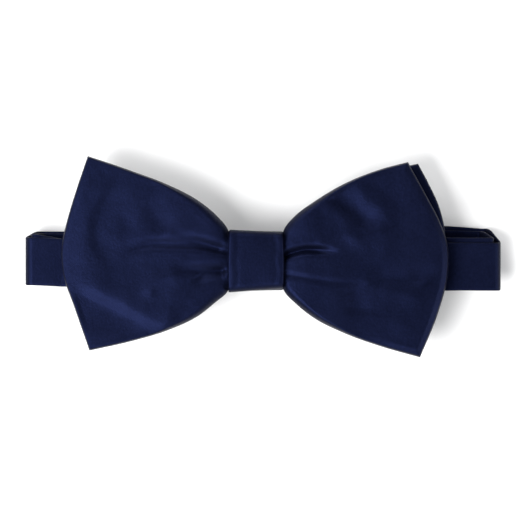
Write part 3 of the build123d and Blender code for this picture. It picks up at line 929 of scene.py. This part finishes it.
def bar_loop(far_x, bar_x, side, y, upper_z, lower_z, radius):
    """From the upper layer at far_x, round a bar, to the lower layer at far_x."""
    middle = (upper_z + lower_z) / 2
    turn = [(bar_x + side * radius * math.sin(a), middle + radius * math.cos(a))
            for a in np.linspace(0, math.pi, 15)]
    start = [(far_x + (bar_x - far_x) * s,
              upper_z + (middle + radius - upper_z) * (3 * s**2 - 2 * s**3))
             for s in np.linspace(0, 1, 12)[:-1]]
    back = [(far_x + (bar_x - far_x) * s,
             lower_z + (middle - radius - lower_z) * (3 * s**2 - 2 * s**3))
            for s in np.linspace(1, 0, 12)[1:]]
    return np.array([(x, y, z) for x, z in start + turn + back])


def make_knot_run(material):
    """From the middle of the bow to the eye ring's bar, round it, and turned back below."""
    front = middle_line("band_knot_run")
    near, far = front[0], front[-1]
    lower_z = middle_line("band_left_inner")[0][2]
    turn_back_x = span("eye_strap_loop")[1][0]
    bar_x = span("eye_ring")[1][0] - EYE_WIRE / 2
    loop = bar_loop(near[0], bar_x, -1, near[1], near[2], lower_z, BAR_TURN)
    tail = spaced(np.array([(near[0], near[1], lower_z), (turn_back_x, near[1], lower_z)]), 9)
    route = np.concatenate([spaced(np.array([far, near]), 64), loop[1:], tail[1:]])
    piece = strap_mesh("strap_knot_run", route, material, STRAP * 0.9, seed=20)
    finish_strap(piece, ["band_knot_run", "eye_strap_loop"], "band", route)


def make_hook_loop(material):
    """The turn of strap round the hook's bar."""
    upper = middle_line("band_left_outer")[-1]
    lower = middle_line("band_left_inner")[-1]
    bar_x = span("hook")[0][0] + HOOK_WIRE / 2
    route = bar_loop(upper[0], bar_x, 1, upper[1], upper[2], lower[2], BAR_TURN)
    piece = strap_mesh("strap_hook_loop", route, material, STRAP * 0.9, seed=10)
    finish_strap(piece, ["hook_strap_loop"], "hook", route)


def make_slider_straps(material):
    """The strap that weaves through the slide, and the strap end sewn round its middle bar."""
    low, high = span("slider")
    middle = (low[0] + high[0]) / 2
    left, right = low[0], high[0]
    start = middle_line("band_slider_run")[-1]
    end = middle_line("band_right_outer")[0]
    level = start[2]
    under = low[2] - 0.1 - STRAP / 2
    over = high[2] + WRAP + 0.15 + STRAP / 2
    weave = smooth_curve([
        start, (left - 0.6, 0, under), (left + 1.4, 0, under), (middle - 1.5, 0, over),
        (middle + 1.5, 0, over), (right - 1.4, 0, under), (right + 0.6, 0, under),
        (end[0] - 0.9, 0, level), end], 60)
    piece = strap_mesh("strap_slider_weave", weave, material, STRAP * 0.9, seed=20, calm=0.0)
    finish_strap(piece, ["band_slider_weave"], "slider", weave)

    inner = middle_line("band_right_inner")[0]
    drop = low[2] - 0.4 - 1.5 * STRAP
    bar_under = low[2] - 0.05 - WRAP / 2
    bar_over = high[2] + 0.05 + WRAP / 2
    wrapped = smooth_curve([
        inner, (inner[0] - 0.8, 0, inner[2]), (right + 0.5, 0, drop),
        (right - 1.4, 0, drop), (middle + 1.2, 0, bar_under - WRAP),
        (middle - 0.7, 0, bar_under - WRAP + 0.02), (middle - 1.15, 0, (bar_under + bar_over) / 2),
        (middle - 0.6, 0, bar_over), (middle + 0.6, 0, bar_over),
        (middle + 1.15, 0, (bar_under + bar_over) / 2), (middle + 0.5, 0, bar_under)], 90)
    piece = strap_mesh("strap_slider_end", wrapped, material, WRAP * 0.95, seed=21, calm=0.0)
    finish_strap(piece, ["slider_strap_end"], "slider", wrapped)


# ---------------------------------------------------------------- thread and label

GATHER_THREAD = 0.16                    # radius of each thread
CLOSING_THREAD = 0.11
TACK_THREAD = 0.10
LABEL_THREAD = 0.07
GATHER_TURNS = 3
CLOSING_STITCHES = 8
TACK_HALF_LENGTH = 6.3
TACK_STITCHES = 32
LABEL_HALF = 0.09
LABEL_ACROSS = 20


def thread_tube(points, radius, sides=8):
    """Points and faces of a round thread along a line, with rounded ends."""
    points = np.asarray(points, float)
    ahead = np.gradient(points, axis=0)
    ahead /= np.linalg.norm(ahead, axis=1)[:, None]
    reference = np.array([0.0, 0.0, 1.0]) if abs(ahead[:, 2]).max() < 0.9 else np.array([1.0, 0, 0])
    side = np.cross(ahead, reference)
    side /= np.linalg.norm(side, axis=1)[:, None]
    up = np.cross(side, ahead)
    share = np.linspace(0, 1, len(points))
    taper = np.sqrt(np.clip(1 - (2 * share - 1) ** 8, 0.02, 1))
    angle = np.linspace(0, 2 * math.pi, sides, endpoint=False)
    rings = (points[:, None] + radius * taper[:, None, None]
             * (np.cos(angle)[None, :, None] * side[:, None]
                + np.sin(angle)[None, :, None] * up[:, None]))
    faces = ring_faces(len(points), sides) + end_caps(len(points), sides)
    return rings.reshape(-1, 3), faces


def thread_piece(name, lines, radius, material, node, body):
    """Several separate stitches as one piece."""
    points, faces = [], []
    for line in lines:
        new_points, new_faces = thread_tube(line, radius)
        base = sum(len(p) for p in points)
        points.append(new_points)
        faces += [tuple(base + i for i in face) for face in new_faces]
    piece = make_piece(name, np.concatenate(points), faces, material)
    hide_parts(node)
    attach(piece, body)


def stitch(start, end, rise):
    """One stitch: a shallow arc between two needle holes, rising by rise in Z at its middle."""
    share = np.linspace(0, 1, 9)[:, None]
    line = np.array(start, float) * (1 - share) + np.array(end, float) * share
    line[:, 2] += rise * np.sin(math.pi * share[:, 0])
    return line


def bar_tack(x, surface_z, outward):
    """A dense zigzag across the strap, standing on one of its faces."""
    lines = []
    ys = np.linspace(-TACK_HALF_LENGTH, TACK_HALF_LENGTH, TACK_STITCHES)
    for k, y in enumerate(ys[:-1]):
        lean = 0.8 if k % 2 else -0.8
        lines.append(stitch((x - lean, y, surface_z), (x + lean, ys[k + 1], surface_z),
                            0.12 * outward))
    return lines


def make_threads(material):
    """Gathering turns round the waist, the stitches that close the knot, and two bar tacks."""
    low, high = span("gather_thread")
    middle = (low + high) / 2
    half = (high - low) / 2
    lines = []
    for k in range(GATHER_TURNS):
        angle = np.linspace(0, 2 * math.pi, 60)
        y = half[1] * 0.90 * np.sign(np.cos(angle)) * np.abs(np.cos(angle)) ** 0.6
        z = middle[2] + half[2] * 0.95 * np.sign(np.sin(angle)) * np.abs(np.sin(angle)) ** 0.6
        x = middle[0] + (k - 1) * 0.55 + 0.25 * angle / (2 * math.pi)
        lines.append(np.stack([x, y, z], 1))
    thread_piece("gather_thread_turns", lines, GATHER_THREAD, material, "gather_thread", "bow")

    low, high = span("knot_stitches")
    xs = np.linspace(low[0], high[0], CLOSING_STITCHES)
    lines = [stitch((x - 0.5, -1.2, high[2]), (x + 0.5, 1.2, high[2]), -0.16) for x in xs]
    thread_piece("knot_closing_stitches", lines, CLOSING_THREAD, material, "knot_stitches", "bow")

    low, high = span("eye_bar_tack")
    x = (low[0] + high[0]) / 2
    upper = high[2] - 0.25
    lower = low[2] + 0.25
    lines = bar_tack(x, upper, 1) + bar_tack(x, lower, -1)
    thread_piece("eye_bar_tack_thread", lines, TACK_THREAD, material, "eye_bar_tack", "band")

    low, high = span("slider_bar_tack")
    x = (low[0] + high[0]) / 2
    lines = bar_tack(x, high[2] + 0.12, -1)
    thread_piece("slider_bar_tack_thread", lines, TACK_THREAD, material, "slider_bar_tack", "slider")


def make_label(tape, thread):
    """A blank woven label with its two ends turned under, stitched at both ends."""
    low, high = span("care_label")
    half_width = (high[1] - low[1]) / 2
    middle_z = (low[2] + high[2]) / 2 - 0.04
    xs = np.linspace(low[0], high[0], 40)
    ends = np.clip(np.minimum(xs - low[0], high[0] - xs) / 1.4, 0, 1)
    rings = []
    for x, end in zip(xs, ends):
        thick = LABEL_HALF * (1.35 - 0.35 * smoothstep(end, 0.9, 1.0))
        ys = np.linspace(-half_width, half_width, LABEL_ACROSS)
        level = np.full(LABEL_ACROSS, x)
        wave = 0.03 * ripple(level, ys, 4.0, 31)
        over = np.stack([level, ys, middle_z + thick + wave], 1)
        under = np.stack([level, ys, middle_z - thick + wave], 1)[::-1]
        rings.append(np.concatenate([over, under]))
    around = 2 * LABEL_ACROSS
    faces = ring_faces(len(rings), around) + end_caps(len(rings), around)
    label = make_piece("care_label_tape", np.concatenate(rings), faces, tape)
    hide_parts("care_label")
    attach(label, "band")
    lines = []
    for x in (low[0] + 0.8, high[0] - 0.8):
        for y in np.linspace(-half_width + 0.8, half_width - 2.0, 6):
            lines.append(stitch((x, y, low[2] - 0.02), (x, y + 1.3, low[2] - 0.02), -0.08))
    thread_piece("label_stitching", lines, LABEL_THREAD, thread, "label_stitches", "band")


# ---------------------------------------------------------------- assembly

def make_metal(nickel):
    """The metal parts keep their CAD shape and get a better finish."""
    for node in ("hook", "eye_ring", "slider"):
        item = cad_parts[node]
        for slot in item.material_slots:
            slot.material = nickel


make_camera()
make_lights()
make_floor()
SATIN = satin_material("navy_satin", 45)
STRAP_SATIN = satin_material("navy_satin_strap", 60)
INTERLINING = woven_material("interlining", *INTERLINING_COLOURS, 0.6, 0.85)
TAPE = woven_material("label_tape", *TAPE_COLOURS, 0.3, 0.75)
THREAD = thread_material("sewing_thread")
NICKEL = nickel_material("nickel_plate")
make_bows(SATIN, INTERLINING)
make_knot(SATIN, INTERLINING)
make_band_folds(STRAP_SATIN)
make_band_runs(STRAP_SATIN)
make_knot_run(STRAP_SATIN)
make_hook_loop(STRAP_SATIN)
make_slider_straps(STRAP_SATIN)
make_threads(THREAD)
make_label(TAPE, THREAD)
make_metal(NICKEL)
